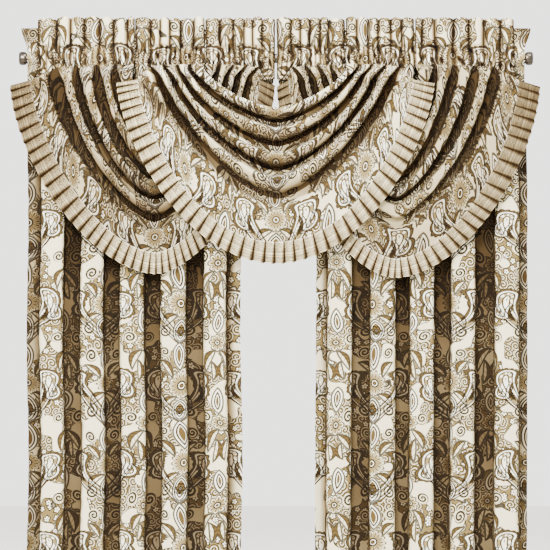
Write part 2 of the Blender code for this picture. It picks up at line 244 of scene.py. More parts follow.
def grid_object(name, points, corner_uv, painted_shade):
    """A smooth sheet from a grid of points, with its UVs and its painted shade."""
    rows, columns = points.shape[:2]
    quads = corners(np.arange(rows * columns).reshape(rows, columns)).reshape(-1, 4)
    mesh = bpy.data.meshes.new(name)
    mesh.vertices.add(rows * columns)
    mesh.vertices.foreach_set("co", points.reshape(-1).astype(np.float32))
    mesh.loops.add(quads.size)
    mesh.loops.foreach_set("vertex_index", quads.reshape(-1).astype(np.int32))
    mesh.polygons.add(len(quads))
    mesh.polygons.foreach_set("loop_start", np.arange(0, quads.size, 4, dtype=np.int32))
    mesh.update(calc_edges=True)
    mesh.validate()
    layer = mesh.uv_layers.new(name="cloth")
    layer.data.foreach_set("uv", corner_uv.reshape(-1).astype(np.float32))
    # The painted shade, kept on each point for the cloth's colour.
    depth = mesh.attributes.new("painted_shade", "FLOAT", "POINT")
    depth.data.foreach_set("value", painted_shade.reshape(-1).astype(np.float32))
    mesh.shade_smooth()
    made = bpy.data.objects.new(name, mesh)
    bpy.context.scene.collection.objects.link(made)
    return made


def lengths_along(points, axis):
    """Distance along the cloth from the first row or column, in metres."""
    steps = np.linalg.norm(np.diff(points, axis=axis), axis=-1)
    zero = np.zeros_like(np.take(points[..., 0], [0], axis=axis))
    return np.concatenate([zero, np.cumsum(steps, axis=axis)], axis=axis)


# Swags

# Shares of a fold's width: a groove's floor and wall, how far a groove
# rises by mid fold, and over how many folds that fades at either edge. Then
# the shapes across the first edge, a roll's crest and the flat band below.
FOLDS = 5
GROOVE_FLOOR = 0.16
GROOVE_WALL = 0.16
GROOVE_LIFT = 0.20
LIFT_AT_TOP = 0.6
LIFT_AT_SEAM = 0.8
EDGE_CURL = 0.35
EDGE_WIDTH = 0.25
CREST_RISE = 0.14
BAND_DROOP = 0.25
BAND_START = 0.4

# The painted shade in the grooves: the width of its edge, and on a roll beside
# it how dark and how wide, as shares of a fold. Then how much of it is gone at
# a roll's upper edge by the middle of the swag.
SHADE_EDGE = 0.06
SIDE_SHADE = 0.50
SIDE_WIDTH = 0.26
HEAD_LIGHT = 0.85
HEAD_POWER = 1.5
FOOT_POWER = 1.15

# How a groove wavers, frays and narrows towards the header. The rates, here
# and below, are how quickly a wobble changes along and across the cloth.
GROOVE_SWAY = 0.35
SWAY_RATE = (6, 5)
GROOVE_FRAY = 0.022
FRAY_RATE = (70, 9)
GROOVE_WANDER = 0.05
WANDER_RATE = 5
INNER_EDGES = 0.5
NARROWEST = 0.22
NARROW_DROP = 80.0 * MM

# Small ripples below the header and creases all over, how far the header's
# shape reaches into the body and its painted shade fades in, how deep a dent
# is where its painted shade is darkest, and that darkest painted shade.
RIPPLE = 1.8 * MM
RIPPLE_DROP = 110.0 * MM
RIPPLE_RATE = 11.0
CREASE = 2.2 * MM
CREASE_RATE = (8, 1.5)
GATHER_DROP = 30.0 * MM
SPREAD_DROP = 60.0 * MM
SHADE_DROP = 9.0 * MM
DENT_DARK = 11.0 * MM
DENT_SHADE = 0.8

# The header's ruffles: how their tops differ, how far each top is rounded,
# the pinch at the stitch line, and the band of small gathers below it.
RUFFLE_LOW = -2.0 * MM
RUFFLE_HIGH = 6.0 * MM
RUFFLE_ARCH = 9.0 * MM
RUFFLE_SINK = 4.0 * MM
PINCH = 7.0 * MM
GATHERS_TOP = 48.0 * MM
GATHERS_FOOT = 30.0 * MM
SMALL_GATHER = 3.0 * MM
SMALL_RIPPLE = 1.2 * MM
SMALL_RATE = 2.3
CRUMPLE = 2.0 * MM
CRUMPLE_RATE = (14, 30)
WAVER_RATE = (9, 40)
SPOT_RATE = (60, 120)
SPOT_START = 0.35
RUFFLE_POWER = 0.7
PINCH_HOLD = 0.75

# The header's painted shade: the lines between ruffles at the top and in the
# small gathers, the gathers themselves, the stitch line, and dark spots.
LINE_POWER = 2.4
LINE_TOP = 2.6
LINE_LOW = 1.2
SMALL_SHADE = 0.8
PINCH_SHADE = 0.15
SPOT_SHADE = 2.2
MOST_SHADE = 2.0
HEADER_ROWS = 44


def line_values(swag, k):
    """The fold table's six columns at place k, between its rows too."""
    table = np.array(swag["lines"])
    rows = np.arange(len(table))
    return [np.interp(k, rows, table[:, column]) for column in range(6)]


def fold_curve(values, middle, turn):
    """A fold line's x and z: turn is -1 at its left end and 1 at its right."""
    left, right, top, low, out_power, down_power = values
    angle = turn * math.pi / 2
    half = np.where(turn < 0, left, right) * MM
    across = half * np.abs(np.sin(angle)) ** (2.0 / out_power)
    down = np.abs(np.cos(angle)) ** (2.0 / down_power)
    return middle + np.sign(turn) * across, mix(top, low, down) * MM


def roll_stand(fold, part, beside, floor):
    """How far forward the cloth is across a fold, 0 to 1."""
    band = 1.0 - BAND_DROOP * ease((part - BAND_START) / (1.0 - BAND_START))
    arch = 1.0 - CREST_RISE + CREST_RISE * np.sin(math.pi * part)
    stand = np.where(fold == FOLDS - 1, band, arch) * ease((beside - floor) / GROOVE_WALL)
    curl = 1.0 - EDGE_CURL * (1.0 - np.minimum(part / EDGE_WIDTH, 1.0)) ** 2
    return np.where((fold == 0) & (part < 0.5), curl, stand)


def roll_shade(swag, fold, part, beside, floor, shade, middle):
    """The painted shade across a fold.

    By the middle of the swag the painted shade leaves each roll's upper edge
    light and its foot dark, and beside it the grooves are painted dark bands with two edges.
    """
    # Painted shade: dark grooves, softer on the rolls beside them, dark at a roll's foot.
    past = beside - floor - shade
    dark = swag["deep"] * (1.0 - ease(past / SHADE_EDGE))
    dark = np.maximum(dark, SIDE_SHADE * (1.0 - ease(past / SIDE_WIDTH)))
    lowest = np.where(fold >= FOLDS - 2, swag["open"], 0.0)
    closed = 1.0 - lowest * middle ** 2
    dark = dark * closed * np.where(part < 0.5, 1.0 - HEAD_LIGHT * middle ** HEAD_POWER, 1.0)
    dark = np.where((fold == 0) & (part < 0.5), 0.0, dark)
    start, most_shade = swag["foot"]
    foot = most_shade * np.clip((part - start) / (1.0 - start), 0, 1) ** FOOT_POWER
    foot = np.where(fold == FOLDS - 1, 0.0, foot)
    return np.maximum(dark, middle * foot * closed)


def roll(swag, c, floor, shade, middle):
    """Across the folds at c: how far forward, 0 to 1, and the painted shade."""
    fold = np.clip(np.floor(c), 0, FOLDS - 1)
    part = c - fold
    beside = np.where(fold == FOLDS - 1, np.minimum(part, 0.5), np.minimum(part, 1.0 - part))
    stand = roll_stand(fold, part, beside, floor)
    return stand, roll_shade(swag, fold, part, beside, floor, shade, middle)


def table_place(c, turn):
    """The place in the fold table of column c: grooves rise at mid fold."""
    lift = GROOVE_LIFT * np.cos(turn * math.pi / 2)
    return c - lift * ease(c / LIFT_AT_TOP) * ease((FOLDS - c) / LIFT_AT_SEAM)


def ruffle_parts(widths, share):
    """Which ruffle each share of a header lies in, and where inside it."""
    ends = np.concatenate([[0.0], np.cumsum(widths)]) / sum(widths)
    number = np.clip(np.searchsorted(ends, share, side="right") - 1, 0, len(widths) - 1)
    part = (share - ends[number]) / (ends[number + 1] - ends[number])
    return number, np.clip(part, 0, 1)


def ruffle(widths, share):
    """How full the header's ruffles are, 0 between them and 1 on them."""
    part = ruffle_parts(widths, share)[1]
    return np.abs(np.sin(math.pi * part)) ** RUFFLE_POWER


def header_x(swag, k, turn):
    """Where each fold line starts along the header, left or right."""
    share = k / FOLDS
    left = mix(swag["header_left"][1], swag["header_left"][0], share)
    right = mix(swag["header_right"][0], swag["header_right"][1], share)
    return np.where(turn < 0, left, right)


def gathers(swag, k, turn):
    share = k / FOLDS
    left = ruffle(swag["ruffles_left"], share)
    right = ruffle(swag["ruffles_right"], share)
    return np.where(turn < 0, left, right)


def header_heights(swag, k, widths, height, seed):
    """The header's rows, with an uneven, rounded top to each ruffle."""
    number, part = ruffle_parts(widths, k / FOLDS)
    draw = np.random.RandomState(SEED + seed)
    tops = draw.uniform(RUFFLE_LOW, RUFFLE_HIGH, len(widths))[number]
    arch = RUFFLE_ARCH * np.sin(math.pi * part) ** 0.5 - RUFFLE_SINK
    top = SWAG_TOP + (tops + arch) * ease((height - 0.6) / 0.4)
    return mix(line_values(swag, k)[2] * MM, top, height)


def header_painted_shade(hollow, lower, fine, pinch, spots):
    """The header's painted shade: between ruffles, in small gathers, in spots."""
    lines = hollow ** LINE_POWER * mix(LINE_TOP, LINE_LOW, lower)
    small = lower * (1 - fine) ** 3 * SMALL_SHADE
    return np.clip(lines + small + pinch * PINCH_SHADE + spots * SPOT_SHADE, 0, MOST_SHADE)


def header_surface(swag, k, side, height, seed):
    """The header above the folds: height runs from the body to the top."""
    share = k / FOLDS
    near, low = swag["reach"]
    turn = side + 0.0 * k
    widths = swag["ruffles_left" if side < 0 else "ruffles_right"]
    z = header_heights(swag, k, widths, height, seed)
    standing = mix(TACKED, LEANING, np.clip((z - SWAG_STITCH) / (SWAG_TOP - SWAG_STITCH), 0, 1))
    over = mix(near, TACKED, ease(z / SWAG_STITCH))
    under = mix(near, low, ease(z / FOLDS_START))
    y = np.where(z > SWAG_STITCH, standing, np.where(z > 0, over, under))
    crumple, dark = Wobble(seed + 40), Wobble(seed + 60)
    waver = 2.0 * crumple(share * WAVER_RATE[0], z * WAVER_RATE[1])
    fine = 0.5 + 0.5 * np.sin(2 * math.pi * share * len(widths) * SMALL_RATE + waver)
    pinch = np.exp(-(((z - SWAG_STITCH) / PINCH) ** 2))
    lower = 1.0 - ease((z - GATHERS_FOOT) / (GATHERS_TOP - GATHERS_FOOT))
    full = gathers(swag, k, turn)
    y = y + RUFFLE_DEPTH * full * mix(1.0, 0.5, lower) * (1 - PINCH_HOLD * pinch)
    y = y + SMALL_GATHER * fine * lower
    y = y + SMALL_RIPPLE * fine * (1 - lower) * (1 - ease(height * 3 - 2))
    x = header_x(swag, k, turn)
    crumpled = crumple(share * CRUMPLE_RATE[0], z * CRUMPLE_RATE[1])
    x = x + CRUMPLE * crumpled * ease((z + 20 * MM) / (40 * MM))
    # Painted shade in dark spots among the small gathers and by the stitch line.
    spots = np.clip(dark(share * SPOT_RATE[0], z * SPOT_RATE[1]) - SPOT_START, 0, 1)
    spots = spots * np.clip(lower + pinch, 0, 1)
    return x, -y, z, header_painted_shade(1.0 - full, lower, fine, pinch, spots)


def dent_depths(swag, c, turn):
    """How deep the swag's dents are at a place in it, in metres."""
    total = 0.0
    for at_c, at_turn, size_c, size_turn, depth in swag["dents"]:
        near = ((c - at_c) / size_c) ** 2 + ((turn - at_turn) / size_turn) ** 2
        total = total + depth * MM * np.exp(-near)
    return total


def groove_floor(c, turn, drop, crease, sway):
    """Half the width of a groove's floor, as a share of a fold."""
    floor = GROOVE_FLOOR * (1.0 + GROOVE_SWAY * sway(turn * SWAY_RATE[0], np.round(c) * SWAY_RATE[1]))
    floor = floor + GROOVE_FRAY * crease(turn * FRAY_RATE[0], c * FRAY_RATE[1])
    return floor * mix(NARROWEST, 1.0, ease(drop / NARROW_DROP))


def body_surface(swag, c, turn, seed):
    """The draped folds: x, y, z and painted shade at column c of the folds."""
    x, z = fold_curve(line_values(swag, table_place(c, turn)), swag["middle"], turn)
    drop = np.maximum(FOLDS_START - z, 0.0)
    settle = 1.0 - np.exp(-drop / PUSH_DROP)
    grown = 1.0 - np.exp(-drop / ROLL_DROP)
    crease, sway = Wobble(seed), Wobble(seed + 9)
    inner = ease(c / INNER_EDGES) * ease((FOLDS - c) / INNER_EDGES)
    middle = np.cos(turn * math.pi / 2) ** 2
    shaken = c + GROOVE_WANDER * crease(turn * WANDER_RATE, c) * inner
    floor = groove_floor(c, turn, drop, crease, sway)
    shade = swag["shade"] * ease(drop / NARROW_DROP)
    stand, painted_shade = roll(swag, shaken, floor, shade, middle)
    y = swag["reach"][1] + swag["push"] * settle + ROLL_DEPTH * grown * stand
    y = y + 0.5 * RUFFLE_DEPTH * gathers(swag, c, turn) * (1.0 - ease(drop / GATHER_DROP))
    fade = np.exp(-drop / RIPPLE_DROP) * grown * stand
    y = y + RIPPLE * np.sin(c * RIPPLE_RATE + 3.0 * crease(turn * 4, c)) * fade
    creased = crease(turn * CREASE_RATE[0] + c, c * CREASE_RATE[1])
    y = y + CREASE * creased * grown * mix(0.3, 1.0, stand)
    dent = dent_depths(swag, c, turn)
    y = y - dent
    x = mix(header_x(swag, c, turn), x, ease(drop / SPREAD_DROP))
    # Painted shade: the swag's dim all over, fading in below the header, and dark in its dents.
    painted_shade = np.maximum(painted_shade, swag["dim"]) * ease(drop / SHADE_DROP)
    painted_shade = np.maximum(painted_shade, np.clip(dent / DENT_DARK, 0, DENT_SHADE))
    return x, -y, z, painted_shade


def swag_grid(swag, seed):
    """The swag's rows, from the left header over the folds to the right."""
    around, across = ((260, 200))
    k = np.linspace(0, FOLDS, across + 1)[None, :]
    heights = np.linspace(1, 0, HEADER_ROWS + 1)[:-1, None]
    turns = np.linspace(-1, 1, around + 1)[:, None]
    ones = np.ones_like(heights)
    parts = [header_surface(swag, k * ones, -1, heights * np.ones_like(k), seed + 1)]
    parts.append(body_surface(swag, k * np.ones_like(turns), turns * np.ones_like(k), seed))
    right = header_surface(swag, k * ones, 1, heights * np.ones_like(k), seed + 2)
    parts.append([value[::-1] for value in right])
    x, y, z, painted_shade = (np.concatenate([part[i] for part in parts]) for i in range(4))
    return np.stack([x, y, z], axis=-1), painted_shade


# How evenly the flat cloth's rows lie: 1 gives all columns the middle's.
EVEN_ROWS = 0.7


def swag_uv(swag, points):
    """Where each corner lies on the flat cloth, in metres."""
    along = lengths_along(points, 0)
    along = along - along[len(along) // 2 : len(along) // 2 + 1] + swag["shift"]
    down = lengths_along(points, 1)
    middle = down[len(down) // 2 : len(down) // 2 + 1]
    flat = mix(down, middle * np.ones_like(down), EVEN_ROWS)
    body = corners(np.stack([along, -flat], axis=-1))
    header = corners(np.stack([points[..., 0] * GATHERED, points[..., 2]], axis=-1))
    body[:HEADER_ROWS] = header[:HEADER_ROWS]
    body[-HEADER_ROWS:] = header[-HEADER_ROWS:]
    return body


def dress(made, node, cloth):
    """Gives a sheet its cloth and lets it stand for its solid."""
    made.data.materials.append(cloth)
    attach(made, "root")
    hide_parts(node)
    return made


def make_swag(name, swag, seed, cloth):
    points, painted_shade = swag_grid(swag, seed)
    made = grid_object(name + "_cloth", points, swag_uv(swag, points), painted_shade)
    return dress(made, name, cloth)


# Trims

# A pleat's columns from one lap to the next, and where its lap begins.
PLEAT_COLUMNS = (0.0, 0.04, 0.1, 0.2, 0.35, 0.5, 0.65, 0.8, 0.88, 0.93, 0.97)
LAP_START = 0.9
LAP_AT_SEAM = 0.35
PLEAT_UNEVEN = 0.15
PLEAT_STEP = 0.045
TRIM_WIDTH = 75.0 * MM
TRIM_SWING = 6.0 * MM
# The painted shade beside a lap: its place in the pleat, its half width at the
# seam, how much it widens outwards, and how dark it is. Then the painted shade
# across a pleat, and how much of the swag's painted shade the trim takes at its ends.
UNDER_LAP = (0.97, 0.05, 0.15, 2.2)
OVER_LAP = (-0.015, 0.04, 0.05, 1.4)
PLEAT_SIDE_SHADE = 0.22
PLEAT_SIDE = 0.7
TRIM_DIM = 2.4
TRIM_DIM_POWER = 1.5


def pleat_columns(seed):
    """Each column's turn along the trim, and its place in its pleat."""
    draw = np.random.RandomState(SEED + seed)
    widths = draw.uniform(1 - PLEAT_UNEVEN, 1 + PLEAT_UNEVEN, PLEATS)
    ends = np.concatenate([[0.0], np.cumsum(widths)]) / widths.sum()
    turns, parts = [], []
    for i in range(PLEATS):
        for part in PLEAT_COLUMNS:
            turns.append(mix(ends[i], ends[i + 1], part) * 2 - 1)
            parts.append(part)
    return np.array(turns)[:, None], np.array(parts)[:, None]


def pleat_shade(parts, share):
    """Painted shade: dark wedges between the pleats, wider at the outer edge, and a soft dark on one side of
    each pleat.
    """
    total = 0.0
    for place, wide, wider, dark in (UNDER_LAP, OVER_LAP):
        total = total + dark * np.exp(-(((parts - place) / (wide + wider * share)) ** 2))
    return np.maximum(total, PLEAT_SIDE_SHADE * ease(1.0 - parts / PLEAT_SIDE))


def make_trim(name, swag, seed, cloth):
    """The pleated band along a swag's seam, each pleat lapping the next."""
    turns, parts = pleat_columns(seed)
    share = np.linspace(0, 1, (12) + 1)[None, :]
    x0, y0, z0 = body_surface(swag, np.full_like(turns, FOLDS), turns, seed - 5)[:3]
    outer = np.sign(turns) * np.abs(turns) ** PLEAT_LEAN
    x1, z1 = fold_curve(swag["trim"], swag["middle"], outer)
    lap = np.where(parts < LAP_START, parts / LAP_START, (1 - parts) / (1 - LAP_START))
    reach = share * (1.0 + PLEAT_STEP * (lap - 0.5) * share)
    y = y0 - (lap - 0.5) * 2 * PLEAT_DEPTH * mix(LAP_AT_SEAM, 1.0, share)
    y = y + TRIM_SWING * share * share
    points = np.stack([mix(x0, x1, reach), y, mix(z0, z1, reach)], axis=-1)
    along = lengths_along(points, 0) * np.ones_like(share)
    width = TRIM_WIDTH * share * np.ones_like(turns)
    # Painted shade: dark wedges between the pleats, and the swag's dim towards the trim's ends.
    dim = TRIM_DIM * swag["dim"] * np.abs(turns) ** TRIM_DIM_POWER
    shade = np.clip(pleat_shade(parts, share) + dim, 0, MOST_SHADE)
    corner_uv = corners(np.stack([along, width], axis=-1))
    made = grid_object(name + "_cloth", points, corner_uv, shade)
    return dress(made, name, cloth)


# Panels

# The soft painted shade beside a groove, the header's outer end, the drops over
# which the folds reach their place and depth, and the header's gathers.
SOFT_EDGE = 17.0 * MM
SOFT_SHADE = 0.7
FLARE_START = 24.0 * MM
FLARE_SHARE = 0.1
PLACE_DROP = 480.0 * MM
DEPTH_DROP = 120.0 * MM
UPPER_GATHERS = 18
POCKET_GATHER = 1.5 * MM
HEADER_GATHER = 3.0 * MM
HEADER_LEAF = 1.2 * MM
# How far the folds wander sideways and shiver in depth, each with its rates
# of change down and along the cloth.
WANDERS = ((4.0 * MM, 5, 3), (1.2 * MM, 60, 8))
SHIVER = (1.0 * MM, 9, 20)
# How strong the painted shade is in the outer and the inner edge strips, and the width they keep.
OUTER_STRIP = 0.45
INNER_STRIP = 0.05
STRIP_WIDE = 60.0 * MM
# The painted shade in the grooves is darker above the middle height, a painted shadow of the swags above,
# and the header's ends.
DARK_ABOVE = -1100.0 * MM
DARK_RISE = 400.0 * MM
DARKER = 0.6
# A groove has painted shade where it lies deeper than this share, over this
# range, with ragged edges, and that painted shade is uneven.
DARK_FROM = 0.25
DARK_RANGE = 0.3
RAGGED = ((0.12, 130, 25), (0.10, 40, 9))
UNEVEN = (0.15, 14, 12)
# Painted shade stripes that stand for small pleats at the header's outer end:
# how far in they go, their painted shade and its change, and how close they are.
FAN_SHARE = 0.09
FAN_SHADE = 0.9
FAN_CHANGE = 0.6
FAN_RATE = 700
ROW_POWER = 1.3


def smoothed(values, reach, along):
    """A row of values, each averaged with those within this reach."""
    half = max(1, int(reach / (along[1] - along[0])))
    kernel = np.hanning(2 * half + 3)[1:-1]
    return np.convolve(np.pad(values, half, mode="edge"), kernel / kernel.sum(), mode="valid")


def panel_cut(panel):
    """The body's cut across its folds: distance, depth, and place in it."""
    outer, inner = panel["edges"]
    half = PANEL_DEPTH / 2
    cut = [(outer, half * OUTER_EDGE)]
    for start, end in panel["folds"]:
        cut += [(start * MM + out * MM, half * back) for out, back in FOLD_EDGE]
        cut.append(((start + end) / 2 * MM, half * FOLD_CROWN))
        cut += [(end * MM - out * MM, half * back) for out, back in reversed(FOLD_EDGE)]
    cut.append((inner, half * INNER_EDGE))
    return np.array(cut)


def panel_profile(panel, count):
    """The cut, smoothed and evenly spaced along the cloth."""
    cut = panel_cut(panel)
    steps = np.concatenate([[0], np.cumsum(np.hypot(*np.diff(cut, axis=0).T))])
    even = np.linspace(0, steps[-1], count)
    share = np.interp(even, steps, np.linspace(0, 1, len(cut)))
    x, y = np.interp(even, steps, cut[:, 0]), np.interp(even, steps, cut[:, 1])
    kernel = np.hanning(9) / np.hanning(9).sum()
    y = np.convolve(np.pad(y, 4, mode="edge"), kernel, mode="valid")
    return x, y, even, share


def panel_path(rows):
    """The panel's rows from the pocket's back over the header to the hem.

    Each is a distance from the rod's axis, a height, how far up the header
    it is, and whether it is in the body.
    """
    foot, top = PANEL_STITCH + 4 * MM, PANEL_TOP - 2 * MM
    path = []
    for step in np.linspace(0, 1, 7)[:-1]:
        away = POCKET_RADIUS * math.sin(math.pi * step)
        path.append((away, mix(POCKET_FOOT, PANEL_STITCH, step), 0, 0))
    for step in np.linspace(0, 1, 8):
        path.append((HEADER_LEAF, mix(foot, top, step), step, 0))
    path.append((0.0, PANEL_TOP, 1, 0))
    for step in np.linspace(1, 0, 8):
        path.append((-HEADER_LEAF, mix(foot, top, step), step, 0))
    for step in np.linspace(0, 1, 8)[1:]:
        away = -POCKET_RADIUS * math.sin(math.pi * step)
        path.append((away, mix(PANEL_STITCH, POCKET_FOOT, step), 0, 0))
    for step in np.linspace(0, 1, rows)[1:]:
        path.append((0.0, mix(POCKET_FOOT, PANEL_BOTTOM, step ** ROW_POWER), 0, 1))
    return path


def wavy(wave, z, along, sizes):
    """The sum of a wobble's sizes, each with its two rates of change."""
    return sum(much * wave(z * down, along * over) for much, down, over in sizes)


def panel_shade(y, z, along, share, wave):
    """The painted shade on one row of the body: deep in its grooves, soft beside."""
    ragged = wavy(wave, z, along, RAGGED)
    dark = ease((y / PANEL_DEPTH + 0.5 - DARK_FROM + ragged) / DARK_RANGE)
    dark = np.maximum(dark, SOFT_SHADE * smoothed(dark, SOFT_EDGE, along))
    painted_groove_scale = 1.0 + DARKER * ease((z - DARK_ABOVE) / DARK_RISE) + wavy(wave, z, along, (UNEVEN,))
    inside = np.minimum(along, along[-1] - along) / STRIP_WIDE
    strip = np.where(share < 0.5, OUTER_STRIP, INNER_STRIP)
    return dark * mix(strip, painted_groove_scale, ease(inside * 1.4 - 0.4))


def make_panel(name, panel, seed, cloth):
    columns, rows = ((440, 120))
    x, y, along, share = panel_profile(panel, columns)
    wave = Wobble(seed)
    path = panel_path(rows)
    start, end = panel["pocket"]
    points = np.zeros((len(path), columns, 3))
    painted_shade = np.zeros((len(path), columns))
    gather = 0.5 + 0.5 * np.sin(share * 2 * math.pi * UPPER_GATHERS + wave(along * 30, 0.0))
    # Painted shade stripes for small pleats at the header's outer end.
    fan = (1.0 - ease(share / FAN_SHARE)) * (FAN_SHADE + FAN_CHANGE * np.sin(along * FAN_RATE))
    for i, (away, z, header, body) in enumerate(path):
        flare = END_FLARE * ease((z - FLARE_START) / (PANEL_TOP - FLARE_START))
        upper_x = mix(start, end, share) + flare * np.clip(1 - share / FLARE_SHARE, 0, 1)
        spread = ease((POCKET_FOOT - z) / PLACE_DROP) * body
        deep = ease((POCKET_FOOT - z) / DEPTH_DROP) * body
        wander = wavy(wave, z, along, WANDERS)
        shiver = wavy(wave, z, along, (SHIVER,))
        lift = (POCKET_GATHER + HEADER_GATHER * header) * gather * (1 - deep)
        points[i, :, 0] = mix(upper_x, x + wander * deep, spread) * panel["side"]
        points[i, :, 1] = mix(away, y, deep) + lift + shiver * deep
        points[i, :, 2] = z
        # Painted shade in the grooves, and the painted pleat stripes in the header.
        painted_shade[i] = panel_shade(y, z, along, share, wave) * deep + fan * header
    down = lengths_along(points, 0)[:, :1] * np.ones((1, columns))
    across = along[None, :] * panel["side"] * np.ones((len(path), 1))
    corner_uv = corners(np.stack([across, -down], axis=-1))
    made = grid_object(name + "_cloth", points, corner_uv, painted_shade)
    return dress(made, name, cloth)


# Materials

def linear(r, g, b):
    """A colour given as seen on a screen, 0 to 255, for the shader."""
    found = []
    for value in (r, g, b):
        value /= 255.0
        found.append(value / 12.92 if value <= 0.04045 else ((value + 0.055) / 1.055) ** 2.4)
    return (*found, 1.0)


# One repeat of the body cloth's drawing, in metres.
REPEAT_WIDE = 0.40
REPEAT_TALL = 0.29

# The body cloth's colours, then the painted shade in the folds: a tint that
# multiplies a cloth's colour once for each unit of painted shade, a dark that
# is mixed in, and its share.
IVORY = linear(236, 225, 188)
BRIGHT = linear(252, 247, 226)
HEART = linear(172, 154, 110)
TAN = linear(122, 104, 64)
DEEP_TAN = linear(90, 72, 40)
BROWN = linear(26, 18, 9)
FLECK = linear(170, 154, 122)
PAINTED_SHADE_TINT = linear(114, 100, 82)
PAINTED_GROOVE_SHADE = linear(45, 38, 29)
PAINTED_GROOVE_SHARE = 0.3
CLOTH_GLOSS = 0.04
TRIM_LIGHT = linear(226, 212, 172)
TRIM_MOTTLE = linear(66, 52, 30)
TRIM_LINE = linear(30, 21, 11)
CLOTH_ROUGH = 0.85
METAL_DARK = linear(44, 39, 33)
METAL_LIGHT = linear(88, 80, 70)
METAL_GRAIN = 90.0
METAL_ROUGH = 0.22
METAL_ROUGHER = 0.14

# The weave's threads for each metre over two pi, and their relief.
THREADS = 2600.0
THREAD_RELIEF = 0.35
THREAD_HEIGHT = 0.0002
FLECK_SCALE = 420.0
FLECK_SHARE = 0.25
DARK_SHARE = 0.92

# How far the drawing is bent out of its straight repeat, and the size of
# the bends, the patches of plain ground and the filler's net.
SWAY_SCALE = 7.0
SWAY_REACH = 0.040
SHORE_SCALE = 9.0
SHORE = 0.520
SHORE_WIDE = 0.015
FILLER_SCALE = 34.0
NET_UNEVEN = 0.75
FILLER_PITCH = 0.0095

# The trim's stripes, as distances from its seam, in metres: the mottled
# band's edge, the outer mottled band, and the dark lines with half widths.
BAND_EDGE = 0.034
OUTER_BAND = (0.060, 0.005)
STRIPES = ((0.036, 0.0020), (0.047, 0.0016), (0.054, 0.0014), (0.0685, 0.0018))
SEAM_EDGE = 0.003
MOTTLE_SCALE = 230.0
MOTTLE_SHARE = 0.85
STREAK_SHARE = 0.32
STRIPE_SHARE = 0.55
SEAM_SHARE = 0.5


class Wire:
    """A number that runs through a material's nodes, with plain operators."""

    def __init__(self, tree, socket):
        self.tree = tree
        self.socket = socket

    def op(self, kind, *others):
        node = self.tree.nodes.new("ShaderNodeMath")
        node.operation = kind
        for slot, value in enumerate((self,) + others):
            if isinstance(value, Wire):
                self.tree.links.new(value.socket, node.inputs[slot])
            else:
                node.inputs[slot].default_value = value
        return Wire(self.tree, node.outputs[0])

    def __add__(self, other):
        return self.op("ADD", other)

    def __radd__(self, other):
        return self.op("ADD", other)

    def __sub__(self, other):
        return self.op("SUBTRACT", other)

    def __rsub__(self, other):
        return (self * -1.0) + other

    def __mul__(self, other):
        return self.op("MULTIPLY", other)

    def __rmul__(self, other):
        return self.op("MULTIPLY", other)

    def __truediv__(self, other):
        return self.op("DIVIDE", other)

    def abs(self):
        return self.op("ABSOLUTE")

    def sin(self):
        return self.op("SINE")

    def cos(self):
        return self.op("COSINE")

    def high(self, other):
        return self.op("MAXIMUM", other)

    def wrap(self, size):
        """The distance from the middle of a repeat of this size."""
        return self.op("WRAP", size / 2, -size / 2)

    def length(self, other):
        return (self * self + other * other).op("SQRT")

    def angle(self, other):
        """The angle of the point (self, other) about the origin."""
        return other.op("ARCTAN2", self)

    def step(self, low, high):
        """Eases from 0 below low to 1 above high."""
        node = self.tree.nodes.new("ShaderNodeMapRange")
        node.interpolation_type = "SMOOTHSTEP"
        node.inputs["From Min"].default_value = low
        node.inputs["From Max"].default_value = high
        self.tree.links.new(self.socket, node.inputs["Value"])
        return Wire(self.tree, node.outputs["Result"])

    def under(self, edge, soft=0.0006):
        """1 where the number is below the edge, 0 above it."""
        return 1.0 - self.step(edge - soft, edge + soft)

    def ring(self, at, wide, soft=0.0005):
        """1 on a line where the number is near this value."""
        return (self - at).abs().under(wide, soft)


def colour_mix(tree, share, first, second, blend="MIX"):
    """The first colour, with this share of the second mixed in."""
    node = tree.nodes.new("ShaderNodeMix")
    node.data_type = "RGBA"
    node.blend_type = blend
    tree.links.new(share.socket, node.inputs[0])
    for slot, value in ((6, first), (7, second)):
        if isinstance(value, tuple):
            node.inputs[slot].default_value = value
        else:
            tree.links.new(value, node.inputs[slot])
    return node.outputs[2]


def new_material(name):
    made = bpy.data.materials.new(name)
    made.use_nodes = True
    return made, made.node_tree, made.node_tree.nodes["Principled BSDF"]


def cloth_coordinates(tree):
    source = tree.nodes.new("ShaderNodeUVMap")
    source.uv_map = "cloth"
    split = tree.nodes.new("ShaderNodeSeparateXYZ")
    tree.links.new(source.outputs[0], split.inputs[0])
    return Wire(tree, split.outputs[0]), Wire(tree, split.outputs[1])


def painted_shade_wire(tree):
    node = tree.nodes.new("ShaderNodeAttribute")
    node.attribute_name = "painted_shade"
    return Wire(tree, node.outputs["Fac"])


def shaded(tree, colour):
    """The colour, darkened by the painted shade laid into the folds."""
    painted_shade = painted_shade_wire(tree)
    join = tree.nodes.new("ShaderNodeCombineColor")
    for slot, share in enumerate(PAINTED_SHADE_TINT[:3]):
        power = tree.nodes.new("ShaderNodeMath")
        power.operation = "POWER"
        power.inputs[0].default_value = share
        tree.links.new(painted_shade.socket, power.inputs[1])
        tree.links.new(power.outputs[0], join.inputs[slot])
    # Painted shade: the tint multiplied in, then a dark mixed in.
    colour = colour_mix(tree, painted_shade.op("SIGN"), colour, join.outputs[0], "MULTIPLY")
    return colour_mix(tree, painted_shade * (2.0 - painted_shade) * PAINTED_GROOVE_SHARE, colour, PAINTED_GROOVE_SHADE)


def joined(tree, u, v):
    """Two numbers as one place, for a texture."""
    join = tree.nodes.new("ShaderNodeCombineXYZ")
    tree.links.new(u.socket, join.inputs[0])
    tree.links.new(v.socket, join.inputs[1])
    return join.outputs[0]


